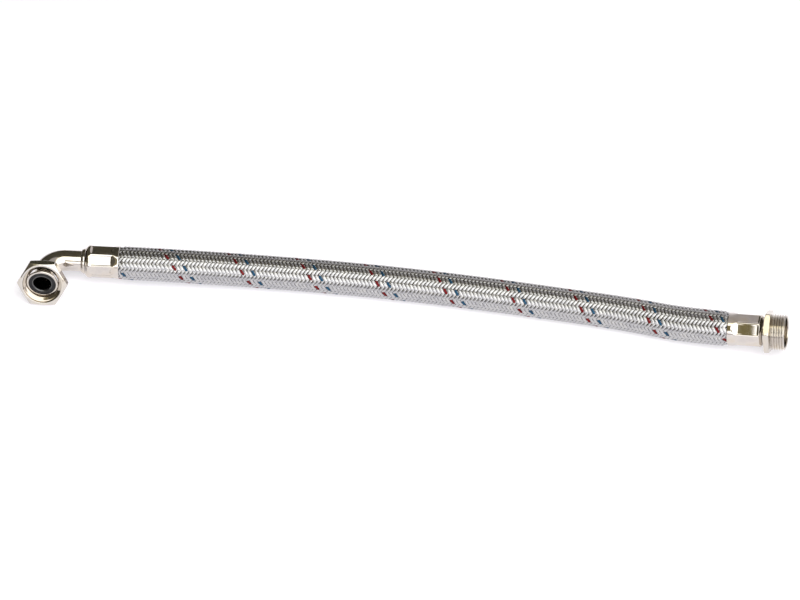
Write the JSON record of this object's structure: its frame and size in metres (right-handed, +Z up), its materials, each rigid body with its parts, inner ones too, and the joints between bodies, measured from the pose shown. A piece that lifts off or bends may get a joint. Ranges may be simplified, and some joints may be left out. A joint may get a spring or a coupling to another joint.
{
  "type": "braided supply line",
  "caption": "Stainless-braided flexible supply hose with a swivel union nut on a bent elbow at one end and a male pipe thread with a thin wrench hexagon at the other.",
  "frame": {"origin": "centre of the swivel nut's mouth", "axes": "+X along the hose as it leaves the elbow, +Z up, the nut opens towards -Y and 17 degrees upwards; the line lies on a flat surface 22.4 mm below the origin"},
  "size_m": [0.7114, 0.0921, 0.0446],
  "materials": {
    "plated_nut": "polished nickel plate on brass",
    "plated_elbow": "polished nickel plate",
    "plated_ferrule": "bright rolled steel, die-crimped",
    "plated_male": "polished nickel plate on brass",
    "steel_braid": "woven bright stainless wire",
    "tracer_red": "dark red tracer yarns in the braid",
    "tracer_blue": "blue tracer yarns in the braid",
    "gasket_rubber": "soft black rubber, slightly shiny lip",
    "liner_rubber": "matt black rubber"
  },
  "bodies": {
    "elbow_end": {"seat_flange": "plated_elbow", "nut_gasket": "gasket_rubber", "elbow_tube": "plated_elbow", "elbow_insert": "plated_elbow", "elbow_ferrule": "plated_ferrule", "braid_sleeve": "steel_braid", "hose_liner": "liner_rubber"},
    "union_nut": {"union_nut": "plated_nut"},
    "male_end": {"male_ferrule": "plated_ferrule", "male_insert": "plated_male"}
  },
  "joints": [
    {"name": "nut_spin", "type": "hinge", "parent": "elbow_end", "child": "union_nut", "pos_m": [0, 0, 0], "axis": [0, -0.9563, 0.2924], "continuous": true},
    {"name": "hose_flex", "type": "hinge", "parent": "elbow_end", "child": "male_end", "pos_m": [0.35, 0.032, -0.00676], "axis": [0, 0, 1], "range_deg": [-25, 25], "stiffness_Nm_per_rad": 0.8, "deforming": ["braid_sleeve", "hose_liner"]}
  ]
}
